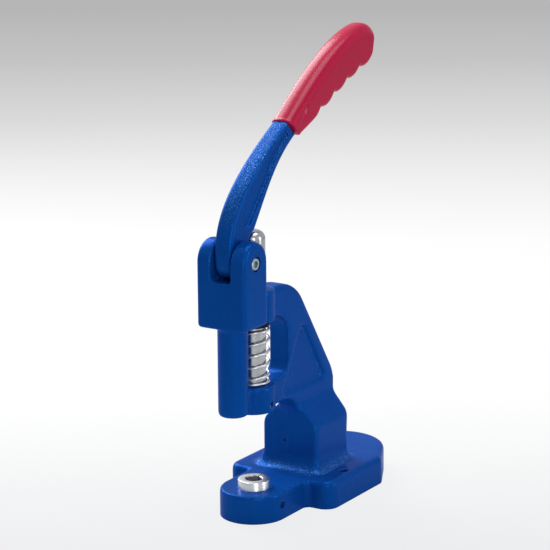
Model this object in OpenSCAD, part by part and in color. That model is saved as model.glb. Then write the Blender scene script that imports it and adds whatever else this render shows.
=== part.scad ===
// Hand press for eyelets: a cast stand with a bench plate, a lever in a fork, and a sprung ram.
// Origin: on the ram's axis, in the plane of the base's underside. The lobe faces -Y, +Z is up.

/* [Base] */
// Thickness of the base plate
base_t = 23; // [16:0.5:32]
// Width of the base plate across its wings
base_w = 100; // [84:1:140]
// From the ram's axis to the rear end of the base
base_rear = 169.5; // [150:0.5:210]
// Radius of the round rear end
base_rear_r = 38.5; // [30:0.5:46]
// From the ram's axis to the straight front edge of the wings
wing_front = 35.5; // [33:0.5:40]
// From the ram's axis to the corners behind the wings
wing_rear = 121.5; // [112:0.5:130]
// Radius of the wings' front corners
wing_front_r = 11.5; // [6:0.5:16]
// Radius of the wings' rear corners
wing_rear_r = 5; // [5:0.5:16]
// Rounding along the top edge of the wings
wing_edge_r = 4.5; // [1:0.5:4.5]
// Radius of the front lobe
lobe_r = 27.3; // [24:0.1:32]
// Rounding along the top edge of the lobe
lobe_edge_r = 2; // [0.5:0.5:3]
// Radius of the hollow corners between lobe and wings
neck_r = 5; // [2:0.5:8]
// Radius of the machined land on the lobe
land_r = 25.2; // [20:0.1:30]
// From the ram's axis back to the land's rear border
land_rear = 39; // [34:0.5:39.5]
// Depth of the machined land
land_d = 0.4; // [0.2:0.1:1]
// Diameter of the two bench holes
bench_hole_d = 7; // [5:0.5:10]
// Distance between the bench holes
bench_hole_pitch = 82; // [72:1:90]
// From the ram's axis back to the right bench hole
bench_hole_right_y = 71; // [60:1:90]
// From the ram's axis back to the left bench hole
bench_hole_left_y = 100; // [86:1:106]

/* [Column and arm] */
// From the ram's axis to the column's front face
column_front = 52.7; // [48:0.1:60]
// Width of the column
column_w = 51; // [40:1:60]
// Height where the column's shoulders begin
shoulder_z = 61.5; // [50:0.5:66]
// Height where the shoulders have run into the arm
waist_z = 78.3; // [72:0.1:84]
// Rounding of the shoulders
shoulder_r = 14; // [3:0.5:16]
// Hollow radius at the front of the column's foot
foot_front_r = 13; // [6:0.5:14]
// Hollow radius at the sides and rear of the column's foot
foot_side_r = 7; // [3:0.5:10]
// Thickness of the arm
arm_t = 19.5; // [15:0.5:24]
// Height of the arm's top
arm_top_z = 184; // [180:0.5:186]
// From the ram's axis to the rear edge of the arm
arm_rear = 109; // [100:0.5:120]
// Height where the arm's slope meets its rear edge
arm_slope_z = 93.5; // [88:0.5:110]
// Angle of the arm's rear slope above the horizontal
arm_slope = 56.3; // [50:0.1:60]
// Rounding between the arm's top and its slope
arm_crown_r = 40; // [20:1:50]
// Depth of the three-cornered recess in each side of the arm
recess_d = 3.5; // [1:0.1:5]

/* [Guides] */
// Radius of the two guide lugs
lug_r = 18; // [15:0.5:22]
// Height of the lower lug's underside
lower_lug_z = 86.8; // [76:0.2:92]
// Length of the lower lug
lower_lug_h = 22.2; // [18:0.2:26]
// Height of the window between the lugs
window_h = 51; // [46:0.5:54]
// Length of the upper lug
upper_lug_h = 26; // [22:0.5:28]
// From the ram's axis to the window's rear wall
window_rear = 38.4; // [34:0.1:44]
// Radius of the front post
post_r = 12; // [9:0.5:13]
// Diameter of the hole in the side of the lower lug
lug_hole_d = 4.5; // [3:0.5:6]

/* [Fork and pivot] */
// From the ram's axis forward to the pivot
pivot_reach = 28; // [26:0.1:32]
// Height of the pivot
pivot_z = 213.3; // [208:0.1:222]
// Width of the fork head
fork_w = 45.2; // [38:0.2:54]
// Depth of the fork head, and twice the radius of its round ears
fork_d = 34.2; // [30:0.2:36]
// Rounding of the fork head's upright corners
fork_corner_r = 4; // [1:0.5:6]
// Diameter of the pivot screw's shoulder
shoulder_d = 9; // [7:0.5:11]
// Diameter of the pivot screw's head
pivot_head_d = 10.5; // [10.5:0.5:14]
// Length of the pivot screw's head
pivot_head_l = 5.4; // [4:0.2:7]
// Diameter of the counterbore for the head
counterbore_d = 12; // [12:0.5:16]
// How much smaller than its shoulder the pivot screw's thread is
pivot_thread_step = 1; // [0.5:0.5:3]
// Width across flats of the pivot nut
nut_af = 13; // [12:0.5:17]
// Thickness of the pivot nut
nut_t = 4; // [3:0.5:8]
// Thickness of each washer beside the lever's boss
thrust_washer_t = 0.9; // [0.5:0.1:1.5]
// Outer radius of the washers beside the boss
thrust_washer_r = 9; // [7:0.5:12]

/* [Lever] */
// Thickness of the lever
lever_t = 16; // [12:0.5:20]
// Radius of the lever's boss
boss_r = 13.5; // [11:0.1:13.5]
// Wall of the bush in the boss
bush_wall = 2.4; // [1.5:0.1:3]
// From the pivot back to the lever's heel
heel_reach = 21.5; // [20.5:0.1:23]
// From the pivot up to the lever's heel
heel_rise = 20.9; // [20:0.1:23]
// From the pivot back to the end of the bare lever
lever_reach = 76; // [66:1:90]
// From the pivot up to the end of the bare lever
lever_rise = 93; // [85:1:105]
// Width of the lever where the grip begins
lever_tip_w = 16.7; // [14:0.1:20]
// Depth of the pocket in each side of the lever
pocket_d = 2.5; // [1:0.5:4.5]

/* [Grip] */
// From the end of the bare lever back to the end of the grip
grip_reach = 125; // [100:0.1:150]
// From the end of the bare lever up to the end of the grip
grip_rise = 56.3; // [45:0.5:75]
// Height of the grip's far end
grip_end_w = 32; // [24:0.5:36]
// Thickness of the grip
grip_t = 21.5; // [18:0.5:26]
// Depth of the finger grooves
finger_groove_d = 3.2; // [0:0.1:4]
// Number of finger grooves
finger_groove_n = 4; // [3:1:5]
// Length of the lever's tongue in the grip
tongue_l = 60; // [30:1:80]

/* [Ram and spring] */
// Diameter of the ram
ram_d = 21.2; // [18:0.2:21.2]
// Height of the ram's lower end at rest
ram_bottom_z = 88.6; // [88:0.1:94]
// Rounding of the ram's domed top
ram_dome_r = 7; // [3:0.5:8]
// Diameter of the upper die's socket
upper_socket_d = 8; // [5:0.5:9]
// Depth of the upper die's socket
upper_socket_l = 20; // [10:1:25]
// Diameter of the set screw in the ram's end
upper_screw_d = 4; // [3:0.5:5]
// Thickness of the spring's upper washer
collar_t = 2.5; // [1.5:0.1:4]
// Thickness of the retaining ring
ring_t = 1.1; // [0.8:0.1:1.6]
// Depth of the retaining ring's groove
ring_groove_d = 0.6; // [0.3:0.1:1]
// Diameter of the spring's wire
wire_d = 2.2; // [1.5:0.05:2.4]
// Outer diameter of the spring
spring_d = 27.6; // [27.2:0.1:28.4]
// Number of turns of the spring
spring_turns = 6.05; // [5:0.05:8]
// Direction in which the spring's lower end begins
spring_start = 252; // [0:1:359]

/* [Die holder] */
// Outer diameter of the split bush
holder_d = 25.7; // [20:0.1:28]
// Bore of the split bush, for the lower die
holder_bore_d = 13.4; // [8:0.1:16]
// How far the split bush stands above the base
holder_rise = 6.5; // [3:0.5:12]
// Width of the slit in the bush
holder_slit = 1; // [0.6:0.1:2]
// Iron left under the split bush
holder_floor = 5; // [3:0.5:8]
// Diameter of the set screw that closes the bush
clamp_screw_d = 6; // [4:1:8]
// Length of the set screw that closes the bush
clamp_screw_l = 10; // [6:1:12]

/* [Fits] */
// Radial clearance of running and sliding fits
fit = 0.05; // [0.02:0.01:0.1]
// End clearance beside the washers of the pivot
side_play = 0.05; // [0.02:0.01:0.2]
// Gap left between a screw's tip and what it presses on
tip_gap = 0.3; // [0.1:0.1:0.5]

/* [Hidden] */
$fn = 64;

arc_steps = 8;
curve_steps = 24;
cut = 1;
blue = "#12408c";
steel = "#c4c7ca";
dark_steel = "#3a3c3f";

lower_lug_top = lower_lug_z + lower_lug_h;
upper_lug_z = lower_lug_top + window_h;
upper_lug_top = upper_lug_z + upper_lug_h;
pivot = [-pivot_reach, pivot_z];
slot_w = lever_t + 2 * thrust_washer_t + 4 * side_play;
slot_floor_gap = 0.5;
slot_floor = pivot_z - boss_r - slot_floor_gap;
fork_x = fork_w / 2;
fork_bottom = upper_lug_z + 1.5;
post_bottom = lower_lug_z + 2.5;
ear_r = fork_d / 2;
pivot_thread_d = shoulder_d - pivot_thread_step;
boss_bore_r = shoulder_d / 2 + fit + bush_wall;
counterbore_l = pivot_head_l + 0.4;
head_seat = fork_x - counterbore_l;
ram_gap = 1.4;
ram_top = pivot_z + heel_rise - ram_gap;
collar_top = upper_lug_z - 0.15 - ring_t;
spring_low = lower_lug_top;
spring_high = collar_top - collar_t;
holder_z = base_t + holder_rise;
screw_z = ram_bottom_z + upper_screw_d / 2 + 3.7;
upper_screw_end = sqrt(pow(ram_d, 2) - pow(upper_screw_d, 2)) / 2 - 0.2;
clamp_z = (base_t + holder_floor) / 2 - 2;
clamp_x = holder_d / 2 + tip_gap;
socket_share = 0.29; // radius of a set screw's hexagon socket, as a share of its diameter
pivot_socket_r = 2.9;
socket_l = 3;
upper_socket_depth = 1.4;
edge_chamfer = 0.6;
ram_relief = 0.6; // radial space round the ram where it passes the fork head

// Geometry helpers. Outlines in the YZ plane hold [y, z].

function along(angle, length) = length * [cos(angle), sin(angle)];

function bezier(p, steps) =
    [for (i = [0 : steps]) let (t = i / steps, s = 1 - t)
        s * s * s * p[0] + 3 * s * s * t * p[1] + 3 * s * t * t * p[2] + t * t * t * p[3]];

function arc(centre, r, from, to, steps) =
    [for (i = [0 : steps]) centre + along(from + (to - from) * i / steps, r)];

function reversed(list) = [for (i = [len(list) - 1 : -1 : 0]) list[i]];

// One corner of an outline, rounded with radius r: b is the corner, a and c its neighbours.
function round_corner(a, b, c, r) =
    let (u = (a - b) / norm(a - b), v = (c - b) / norm(c - b), half = acos(u * v) / 2)
    let (mid = b + (u + v) / norm(u + v) * r / sin(half), reach = r / tan(half))
    let (p = b + u * reach - mid, q = b + v * reach - mid)
    let (from = atan2(p[1], p[0]), turn = atan2(p[0] * q[1] - p[1] * q[0], p * q))
    arc(mid, r, from, from + turn, arc_steps);

// An outline from [y, z, radius] corners.
function rounded(corners) =
    [for (i = [0 : len(corners) - 1])
        let (n = len(corners), k = corners[i], a = corners[(i + n - 1) % n], c = corners[(i + 1) % n])
        each k[2] > 0 ? round_corner([a[0], a[1]], [k[0], k[1]], [c[0], c[1]], k[2]) : [[k[0], k[1]]]];

// A plate of thickness t across X, centred, with its outline in the YZ plane.
module plate(outline, t) rotate([90, 0, 90]) linear_extrude(t, center = true) polygon(outline);

// A bar along Y from y0 to y1, with its outline in the XZ plane.
module bar(outline, y0, y1) translate([0, y1, 0]) rotate([90, 0, 0]) linear_extrude(y1 - y0) polygon(outline);

// A cylinder along X from x0 to x1.
module rod_x(r, x0, x1, sides = 64) translate([x0, 0, 0]) rotate([0, 90, 0]) cylinder(r = r, h = x1 - x0, $fn = sides);

// A flat disc whose top edge is rounded.
module soft_disc(r, h, edge, sides = 32)
    rotate_extrude($fn = sides)
        polygon(concat([[0, 0], [r, 0]], arc([r - edge, h - edge], edge, 0, 90, 4), [[0, h]]));

// A tube's outline around Z, from z0 to z1.
module sleeve(r_out, r_in, z0, z1) difference() {
    translate([0, 0, z0]) cylinder(r = r_out, h = z1 - z0);
    translate([0, 0, z0 - cut]) cylinder(r = r_in, h = z1 - z0 + 2 * cut);
}

// Frame

module base_wings() hull() {
    for (side = [-1, 1]) {
        translate([side * (base_w / 2 - wing_front_r), wing_front + wing_front_r, 0])
            soft_disc(wing_front_r, base_t, wing_edge_r);
        translate([side * (base_w / 2 - wing_rear_r), wing_rear - wing_rear_r, 0])
            soft_disc(wing_rear_r, base_t, wing_edge_r);
    }
    translate([0, base_rear - base_rear_r, 0]) soft_disc(base_rear_r, base_t, wing_edge_r);
}

module base_lobe() hull() {
    soft_disc(lobe_r, base_t, lobe_edge_r, 64);
    translate([0, wing_front + wing_front_r, 0]) soft_disc(lobe_r, base_t, lobe_edge_r);
}

module neck_fillet() {
    corner = [lobe_r, wing_front];
    centre = corner + [neck_r, -neck_r];
    linear_extrude(base_t - wing_edge_r)
        polygon(concat([corner + [-cut, cut], corner + [-cut, -neck_r]],
                       arc(centre, neck_r, 180, 90, arc_steps), [corner + [neck_r, cut]]));
}

// Side view of the column and the arm.
function stand_side() = let (
        foot_z = base_t - 0.3,
        crown_y = arm_rear - (arm_top_z - arm_slope_z) / tan(arm_slope))
    rounded([
        [column_front - foot_front_r - cut, foot_z - 3, 0],
        [column_front - foot_front_r - cut, foot_z, 0],
        [column_front, foot_z, foot_front_r],
        [column_front, lower_lug_z, 9],
        [0, lower_lug_z, 0],
        [0, arm_top_z, 0],
        [crown_y, arm_top_z, arm_crown_r],
        [arm_rear, arm_slope_z, 30],
        [arm_rear - 3, foot_z, foot_side_r],
        [arm_rear + foot_side_r - 2, foot_z, 0],
        [arm_rear + foot_side_r - 2, foot_z - 3, 0]]);

// Front view of the column and the arm, as one half from the middle outwards.
function stand_half() = let (foot_z = base_t - 0.3, foot_x = column_w / 2 + foot_side_r + cut) [
        [foot_x, foot_z - 3, 0],
        [foot_x, foot_z, 0],
        [column_w / 2, foot_z, foot_side_r],
        [column_w / 2, shoulder_z, shoulder_r],
        [arm_t / 2, waist_z, shoulder_r],
        [arm_t / 2, arm_top_z + cut, 0]];

function mirrored(half) = concat(half, [for (k = reversed(half)) [-k[0], k[1], k[2]]]);

module stand() intersection() {
    plate(stand_side(), base_w);
    bar(rounded(mirrored(stand_half())), -cut, base_rear);
}

module side_recess(side) {
    low = lower_lug_z + 5.5;
    outline = rounded([[28, low, 3], [60, low + 56, 5], [95, low, 3]]);
    translate([side * arm_t / 2, 0, 0]) plate(outline, 2 * recess_d);
}

module window() plate(rounded([
        [-cut, lower_lug_top, 0], [window_rear, lower_lug_top, 10],
        [window_rear, upper_lug_z, 19], [-cut, upper_lug_z, 0]]), arm_t + 2 * cut);

module fork_head() {
    outline = rounded([for (k = [[-1, -1], [1, -1], [1, 1], [-1, 1]])
        [k[0] * fork_x, -pivot_reach + k[1] * ear_r, fork_corner_r]]);
    side = concat([[-ear_r - pivot_reach, fork_bottom], [ear_r - pivot_reach, fork_bottom]],
                  arc(pivot, ear_r, 0, 180, 24));
    difference() {
        intersection() {
            translate([0, 0, fork_bottom]) linear_extrude(pivot_z + ear_r - fork_bottom + cut) polygon(outline);
            plate(side, fork_w + 2 * cut);
        }
        translate([-slot_w / 2, -pivot_reach - fork_d, slot_floor]) cube([slot_w, 2 * fork_d, 2 * fork_d]);
    }
}

module post() translate([0, -pivot_reach, post_bottom]) cylinder(r = post_r, h = fork_bottom + cut - post_bottom);

module frame_cuts() {
    // Machined land on the lobe
    translate([0, 0, base_t - land_d]) {
        cylinder(r = land_r, h = base_t);
        translate([-land_r, 0, 0]) cube([2 * land_r, land_rear, base_t]);
    }
    // Seat and set screw hole of the split bush
    translate([0, 0, holder_floor]) cylinder(r = holder_d / 2 + fit, h = base_t);
    translate([0, 0, clamp_z]) rod_x(clamp_screw_d / 2 + fit, 0, lobe_r + cut);
    // Bench holes
    for (hole = [[1, bench_hole_right_y], [-1, bench_hole_left_y]])
        translate([hole[0] * bench_hole_pitch / 2, hole[1], -cut])
            cylinder(d = bench_hole_d, h = base_t + 2 * cut);
    // Guides of the ram, and its way past the fork head
    for (lug = [[lower_lug_z, lower_lug_h], [upper_lug_z, upper_lug_h]])
        translate([0, 0, lug[0] - cut]) cylinder(r = ram_d / 2 + fit, h = lug[1] + 2 * cut);
    translate([0, 0, upper_lug_top]) cylinder(r = ram_d / 2 + ram_relief, h = 2 * fork_d);
    // Hole that reaches the upper die's set screw
    translate([0, 0, screw_z]) rod_x(lug_hole_d / 2, 0, lug_r + cut);
    // Pivot
    translate([0, -pivot_reach, pivot_z]) {
        rod_x(shoulder_d / 2 + fit, 0, fork_x + cut);
        rod_x(counterbore_d / 2, head_seat, fork_x + cut);
        rod_x(pivot_thread_d / 2 + fit, -fork_x - cut, 0);
    }
}

module frame() color(blue) difference() {
    union() {
        base_wings();
        base_lobe();
        neck_fillet();
        mirror([1, 0, 0]) neck_fillet();
        difference() {
            stand();
            window();
            side_recess(1);
            side_recess(-1);
        }
        translate([0, 0, lower_lug_z]) cylinder(r = lug_r, h = lower_lug_h);
        translate([0, 0, upper_lug_z]) cylinder(r = lug_r, h = upper_lug_h);
        post();
        fork_head();
    }
    frame_cuts();
}

// Pivot

module pivot_screw() color(dark_steel) translate([0, -pivot_reach, pivot_z]) difference() {
    union() {
        rod_x(pivot_head_d / 2, head_seat, head_seat + pivot_head_l);
        rod_x(shoulder_d / 2, -slot_w / 2, head_seat + cut);
        rod_x(pivot_thread_d / 2, -fork_x - nut_t - 1.5, cut);
    }
    rod_x(pivot_socket_r, head_seat + pivot_head_l - socket_l, fork_x + cut, 6);
}

module pivot_nut() color(dark_steel) translate([0, -pivot_reach, pivot_z]) difference() {
    rod_x(nut_af / sqrt(3), -fork_x - nut_t, -fork_x, 6);
    rod_x(pivot_thread_d / 2 + fit, -fork_x - nut_t - cut, -fork_x + cut);
}

module thrust_washer(x0) translate([0, -pivot_reach, pivot_z]) difference() {
    rod_x(thrust_washer_r, x0, x0 + thrust_washer_t);
    rod_x(shoulder_d / 2 + 2 * fit, x0 - cut, x0 + thrust_washer_t + cut);
}

module thrust_washer_right() color(steel) thrust_washer(lever_t / 2 + side_play);

module thrust_washer_left() color(steel) thrust_washer(-lever_t / 2 - side_play - thrust_washer_t);

// Lever

lever_tip = pivot + [lever_reach, lever_rise];
tip_cut = along(136, lever_tip_w / 2);
heel = pivot + [heel_reach, heel_rise];
boss_front = pivot + [-boss_r, 0];

lever_front = bezier([boss_front, boss_front + along(94.3, 33.4),
                      lever_tip + tip_cut - along(30.4, 79.6), lever_tip + tip_cut], curve_steps);
lever_rear = bezier([heel, heel + along(54.4, 35.5),
                     lever_tip - tip_cut - along(30.3, 34.7), lever_tip - tip_cut], curve_steps);
heel_back = round_corner(heel, pivot + [boss_r, 15.5], pivot + [boss_r, 0], 4);
lever_outline = concat(lever_front, reversed(lever_rear), heel_back, arc(pivot, boss_r, 0, -172.5, 23));

tongue_h = 11;
tongue_t = 9;
tongue_angle = atan2(grip_rise, grip_reach) + 6.2;

module tongue() translate([0, lever_tip[0], lever_tip[1]]) rotate([tongue_angle, 0, 0])
    translate([-tongue_t / 2, -6, -tongue_h / 2]) cube([tongue_t, tongue_l + 6, tongue_h]);

// Outline of the lever's side pockets, from the pivot.
pocket = [for (k = [[9.5, 20.7, 6], [0.5, 34.2, 8], [15.5, 54.5, 30], [46, 79, 60], [66, 93, 1.5],
                    [70.5, 88.8, 1.5], [51, 71.5, 60], [33, 48, 60]])
    [pivot[0] + k[0], pivot[1] + k[1], k[2]]];

module lever() color(blue) difference() {
    union() {
        plate(lever_outline, lever_t);
        tongue();
    }
    for (side = [-1, 1])
        translate([side * lever_t / 2, 0, 0]) plate(rounded(pocket), 2 * pocket_d);
    translate([0, -pivot_reach, pivot_z]) rod_x(boss_bore_r, -lever_t, lever_t);
}

module lever_bush() color("#b08d57") translate([0, -pivot_reach, pivot_z]) difference() {
    rod_x(boss_bore_r, -lever_t / 2, lever_t / 2);
    rod_x(shoulder_d / 2 + fit, -lever_t, lever_t);
}

// Grip: rings of points from the lever's end to the far end. Each ring spans crest and underside.

grip_rim = 1.1;
grip_sides = 24;
grip_rings = 48;
grip_squareness = 0.68; // exponent of a ring's outline: 1 is an ellipse, 0 a rectangle
grip_end = lever_tip + [grip_reach, grip_rise];
rim_cut = along(136, lever_tip_w / 2 + grip_rim);
end_cut = along(78, grip_end_w / 2);
crest = bezier([lever_tip + rim_cut, lever_tip + rim_cut + along(37, 47.8),
                grip_end + end_cut - along(-5, 46), grip_end + end_cut], grip_rings);
underside = bezier([lever_tip - rim_cut, lever_tip - rim_cut + along(22, 41),
                    grip_end - end_cut - along(12.2, 37.9), grip_end - end_cut], grip_rings);

// Share of its full depth that a finger groove has at t: narrow grooves between broad rounds.
first_groove = 0.29;
last_groove = 0.80;
function groove(t) = let (u = (t - first_groove) / (last_groove - first_groove) * (finger_groove_n - 1))
    u < -0.5 || u > finger_groove_n - 0.5 ? 0 : 1 - abs(sin(180 * u));

// How much a ring shrinks near the grip's far end, which is rounded with radius r.
end_height_r = 16;
end_side_r = 6;
function end_shrink(t, r) = let (left = (1 - t) * norm([grip_reach, grip_rise]))
    left > r ? 0 : 0.9 * (r - sqrt(r * r - pow(r - left, 2)));

function grip_ring(i) = let (
        t = i / grip_rings,
        up = (crest[i] - underside[i]) / norm(crest[i] - underside[i]),
        top = crest[i] - up * end_shrink(t, end_height_r),
        low = underside[i] + up * (groove(t) * finger_groove_d + end_shrink(t, end_height_r)),
        mid = (top + low) / 2,
        half = norm(top - low) / 2,
        half_x = grip_t / 2 - end_shrink(t, end_side_r))
    [for (k = [0 : grip_sides - 1]) let (a = 360 * k / grip_sides, c = cos(a), s = sin(a))
        let (x = half_x * sign(c) * pow(abs(c), grip_squareness), h = half * sign(s) * pow(abs(s), grip_squareness))
        [x, mid[0] + up[0] * h, mid[1] + up[1] * h]];

module lever_grip() color("#b01c38") difference() {
    swept([for (i = [0 : grip_rings]) grip_ring(i)]);
    tongue();
}

// A closed body through rings of points that all have the same number of points.
module swept(rings) {
    n = len(rings[0]);
    last = (len(rings) - 1) * n;
    middle = [for (end = [rings[0], rings[len(rings) - 1]]) [for (axis = [0 : 2]) mean(end, axis)]];
    points = concat([for (ring = rings) each ring], middle);
    sides = [for (i = [0 : len(rings) - 2], k = [0 : n - 1])
        let (a = i * n + k, b = i * n + (k + 1) % n) each [[a, a + n, b], [b, a + n, b + n]]];
    caps = [for (k = [0 : n - 1]) let (q = (k + 1) % n)
        each [[len(points) - 2, k, q], [len(points) - 1, last + q, last + k]]];
    polyhedron(points, concat(sides, caps));
}

function mean(ring, axis) = let (v = [for (p = ring) p[axis]]) v * [for (k = v) 1] / len(v);

// Ram

module ram_body() rotate_extrude() {
    r = ram_d / 2;
    polygon(concat(
        [[0, ram_bottom_z], [r - edge_chamfer, ram_bottom_z], [r, ram_bottom_z + edge_chamfer],
         [r, collar_top], [r - ring_groove_d, collar_top], [r - ring_groove_d, collar_top + ring_t], [r, collar_top + ring_t]],
        arc([r - ram_dome_r, ram_top - ram_dome_r], ram_dome_r, 0, 90, 12),
        [[0, ram_top]]));
}

module ram() color(steel) difference() {
    ram_body();
    translate([0, 0, ram_bottom_z - cut]) cylinder(d = upper_socket_d, h = upper_socket_l + cut);
    translate([0, 0, screw_z]) rod_x(upper_screw_d / 2, 0, ram_d);
}

module ram_collar() color(dark_steel) sleeve(spring_d / 2, ram_d / 2 + fit, collar_top - collar_t, collar_top);

module collar_ring() color(dark_steel) difference() {
    sleeve(ram_d / 2 + 2, ram_d / 2 - ring_groove_d + 0.02, collar_top, collar_top + ring_t);
    translate([-2.5, 0, collar_top - cut]) cube([5, ram_d, ring_t + 2 * cut]);
}

module upper_die_screw() color(dark_steel) translate([0, 0, screw_z]) difference() {
    rod_x(upper_screw_d / 2 - fit, upper_socket_d / 2 + 0.15, upper_screw_end);
    rod_x(upper_screw_d * socket_share, upper_screw_end - upper_socket_depth, ram_d, 6);
}

// Return spring: one wire, its end turns closed.

wire_sides = 6;
rings_per_turn = 8;
closed_turns = 0.9;
end_play = 0.05;
coil_r = (spring_d - wire_d) / 2;
wire_r = wire_d / 2;
coil_low = spring_low + wire_r + end_play;
coil_high = spring_high - wire_r - end_play;
closed_rise = (wire_d + 0.5) * closed_turns;
open_rate = (coil_high - coil_low - 2 * closed_rise) / (spring_turns - 2 * closed_turns);

function wire_z(turn) =
    turn < closed_turns ? coil_low + turn / closed_turns * closed_rise
    : turn > spring_turns - closed_turns ? coil_high - (spring_turns - turn) / closed_turns * closed_rise
    : coil_low + closed_rise + (turn - closed_turns) * open_rate;

function wire_ring(turn) = let (a = 360 * turn + spring_start)
    [for (k = [0 : wire_sides - 1]) let (b = -360 * k / wire_sides)
        let (r = coil_r + wire_r * cos(b)) [r * cos(a), r * sin(a), wire_z(turn) + wire_r * sin(b)]];

wire_steps = ceil(spring_turns * rings_per_turn);
wire_turns = [for (i = [0 : wire_steps]) i * spring_turns / wire_steps];
wire_gap = min([for (t = wire_turns) if (t >= 1) wire_z(t) - wire_z(t - 1) - wire_d]);
echo(least_gap_between_spring_turns = wire_gap);

module return_spring() color(steel) swept([for (t = wire_turns) wire_ring(t)]);

// Die holder

module die_holder_ring() color(steel) difference() {
    rotate_extrude() polygon([[holder_bore_d / 2, holder_floor], [holder_d / 2, holder_floor],
        [holder_d / 2, holder_z - edge_chamfer], [holder_d / 2 - edge_chamfer, holder_z], [holder_bore_d / 2, holder_z]]);
    translate([-holder_slit / 2, 0, holder_floor - cut]) cube([holder_slit, holder_d, holder_z]);
}

module die_clamp_screw() color(dark_steel) translate([0, 0, clamp_z]) difference() {
    rod_x(clamp_screw_d / 2, clamp_x, clamp_x + clamp_screw_l);
    rod_x(clamp_screw_d * socket_share, clamp_x + clamp_screw_l - socket_l, clamp_x + clamp_screw_l + cut, 6);
}

frame();
pivot_screw();
pivot_nut();
thrust_washer_right();
thrust_washer_left();
lever();
lever_bush();
lever_grip();
ram();
ram_collar();
collar_ring();
return_spring();
upper_die_screw();
die_holder_ring();
die_clamp_screw();
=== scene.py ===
"""The looks of a hand press for eyelets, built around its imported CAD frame.

Lengths in the classes are in millimetres, in the CAD's own frame: the origin lies on the ram's
axis in the plane of the base's underside, -Y is the front and +Z is up. The helpers turn them
into metres. Angles are in degrees.
"""

from __future__ import annotations

import logging
import math
from dataclasses import dataclass, field
from enum import Enum
from typing import Any, Callable, Sequence

import bpy
from mathutils import Matrix, Vector

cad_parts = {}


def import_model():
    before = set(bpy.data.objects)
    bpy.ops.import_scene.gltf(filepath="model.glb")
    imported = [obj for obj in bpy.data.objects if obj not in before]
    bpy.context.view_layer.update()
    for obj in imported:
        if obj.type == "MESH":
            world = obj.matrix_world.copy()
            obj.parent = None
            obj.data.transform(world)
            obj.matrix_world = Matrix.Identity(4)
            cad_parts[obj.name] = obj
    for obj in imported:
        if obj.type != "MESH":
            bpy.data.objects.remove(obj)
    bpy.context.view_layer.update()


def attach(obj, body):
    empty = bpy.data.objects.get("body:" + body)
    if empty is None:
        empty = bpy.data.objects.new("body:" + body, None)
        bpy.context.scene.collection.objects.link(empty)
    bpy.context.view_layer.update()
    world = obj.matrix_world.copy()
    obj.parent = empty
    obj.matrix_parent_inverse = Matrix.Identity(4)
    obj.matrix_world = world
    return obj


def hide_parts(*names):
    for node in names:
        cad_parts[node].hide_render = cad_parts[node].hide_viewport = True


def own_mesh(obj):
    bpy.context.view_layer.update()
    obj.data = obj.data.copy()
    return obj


LOG = logging.getLogger("press")
MM = 0.001
# Points that are closer than this are welded, and corners flatter than this are left out.
WELD = 0.002 * MM
FLAT = 1e-9

Point2 = tuple[float, float]
Corner = tuple[float, float, float]
Pull = tuple[Point2, Point2]
Look = tuple[dict[str, Any], dict[str, Any]]


class Body(Enum):
    """The CAD bodies that pieces ride on."""

    STAND = "stand"
    LEVER = "lever"
    RAM = "ram"


class Slot(Enum):
    """The record's material slots."""

    BLUE = "blue_enamel"
    RED = "red_grip"
    BRIGHT = "bright_steel"
    DARK = "dark_steel"
    BRONZE = "bronze"


class Plane(Enum):
    """The plane that an outline is drawn in, as the directions of its u, its v and its thickness."""

    TOP = ((1, 0, 0), (0, 1, 0), (0, 0, 1))
    SIDE = ((0, 1, 0), (0, 0, 1), (1, 0, 0))


class Cut(Enum):
    """What a boolean leaves of an object."""

    REMOVE = "DIFFERENCE"
    KEEP_COMMON = "INTERSECT"


# ---------------------------------------------------------------- outlines


def along(angle: float, length: float) -> Point2:
    """A step of a length in the direction of an angle."""
    return length * math.cos(math.radians(angle)), length * math.sin(math.radians(angle))


def plus(*points: Point2) -> Point2:
    """The sum of points or steps."""
    return sum(p[0] for p in points), sum(p[1] for p in points)


def minus(a: Point2, b: Point2) -> Point2:
    """The step from b to a."""
    return a[0] - b[0], a[1] - b[1]


def arc(centre: Point2, radius: float, start: float, end: float, steps: int) -> list[Point2]:
    """Points on an arc from one angle to another, its two ends among them."""
    return [plus(centre, along(start + (end - start) * i / steps, radius)) for i in range(steps + 1)]


def handles(a: Point2, b: Point2, out: Point2, back: Point2) -> list[Point2]:
    """The control points of a curve from a to b, whose pulls at both ends are (angle, length)."""
    return [a, plus(a, along(*out)), minus(b, along(*back)), b]


def bezier(p: Sequence[Point2], steps: int) -> list[Point2]:
    """Points on a cubic curve with four control points, its two ends among them."""
    return [bezier_point(p, i / steps) for i in range(steps + 1)]


def bezier_point(p: Sequence[Point2], t: float) -> Point2:
    """One point on a cubic curve.

    Args:
        p: The four control points.
        t: Place on the curve, from 0 to 1.

    Returns:
        The point.
    """
    s = 1 - t
    weights = (s**3, 3 * s * s * t, 3 * s * t * t, t**3)
    return sum(w * q[0] for w, q in zip(weights, p)), sum(w * q[1] for w, q in zip(weights, p))


def round_corner(a: Point2, b: Point2, c: Point2, radius: float, steps: int = 8) -> list[Point2]:
    """The arc that rounds one corner of an outline.

    Args:
        a: The corner before.
        b: The corner to round.
        c: The corner after.
        radius: Radius of the rounding.
        steps: Number of segments.

    Returns:
        Points of the arc in order.
    """
    u = Vector(minus(a, b)).normalized()
    v = Vector(minus(c, b)).normalized()
    half = math.acos(max(-1.0, min(1.0, u.dot(v)))) / 2
    centre = Vector(b) + (u + v).normalized() * radius / math.sin(half)
    p = Vector(b) + u * radius / math.tan(half) - centre
    q = Vector(b) + v * radius / math.tan(half) - centre
    start = math.degrees(math.atan2(p.y, p.x))
    turn = math.degrees(math.atan2(p.x * q.y - p.y * q.x, p.dot(q)))
    return arc((centre.x, centre.y), radius, start, start + turn, steps)


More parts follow.
